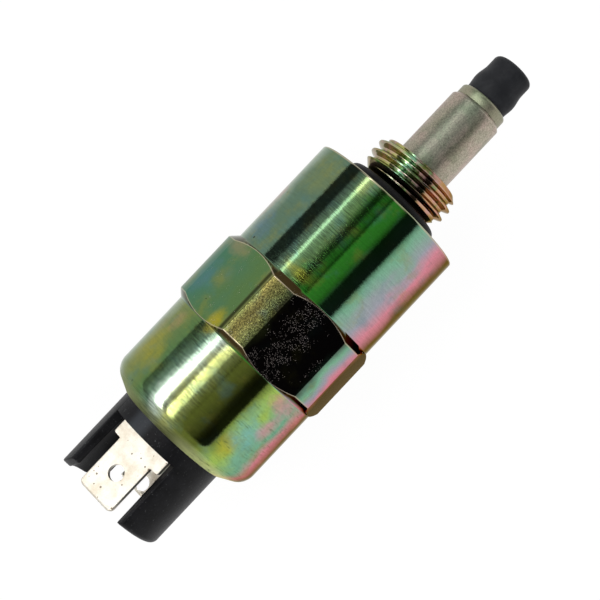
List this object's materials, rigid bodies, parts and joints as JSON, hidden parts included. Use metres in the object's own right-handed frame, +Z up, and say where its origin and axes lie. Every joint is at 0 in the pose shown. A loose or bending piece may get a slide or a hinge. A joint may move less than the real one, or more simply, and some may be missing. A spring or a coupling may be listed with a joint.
{
  "type": "diesel fuel shut-off solenoid",
  "caption": "Pull solenoid with a threaded nose, hexagon body, sprung plunger with a rubber tip, and a winged connector with two spade blades.",
  "frame": {"origin": "centre of the bounding box at its bottom, on the surface that the part lies on", "axes": "+X along the solenoid's axis towards the plunger's tip, +Z up out of the top hexagon flat"},
  "size_m": [0.082, 0.0262, 0.0242],
  "materials": {
    "yellow_plated_steel": "glossy yellow chromate over zinc, lathe-turned",
    "zinc_steel": "matte pale zinc plating",
    "core_steel": "plain turned soft iron",
    "spring_steel": "drawn wire",
    "brass": "drawn tube and strip",
    "tinned_brass": "matte tin plating",
    "copper_wire": "enamelled copper",
    "black_rubber": "satin moulded",
    "black_moulding": "satin moulded",
    "coil_plastic": "moulded",
    "wrap_tape": "wound tape",
    "fibre_board": "stamped board"
  },
  "bodies": {
    "housing": {"body_housing": "yellow_plated_steel", "seat_o_ring": "black_rubber", "return_spring": "spring_steel", "guide_tube": "brass", "fixed_core": "core_steel", "anti_stick_shim": "brass", "bobbin": "coil_plastic", "coil_winding": "copper_wire", "coil_wrap": "wrap_tape", "flux_washer": "core_steel", "front_tube_seal": "black_rubber", "rear_tube_seal": "black_rubber", "connector_gasket": "black_rubber", "insulating_disc": "fibre_board", "connector_base": "black_moulding", "terminal_front": "tinned_brass", "terminal_rear": "tinned_brass", "lead_front": "copper_wire", "lead_rear": "copper_wire"},
    "plunger_group": {"plunger": "zinc_steel", "seal_tip": "black_rubber"}
  },
  "joints": [
    {"name": "plunger_slide", "type": "slide", "parent": "housing", "child": "plunger_group", "axis": [-1, 0, 0], "range_m": [0, 0.0022], "stiffness_N_per_m": 1500, "springref_m": -0.004, "deforming": ["return_spring"]}
  ]
}
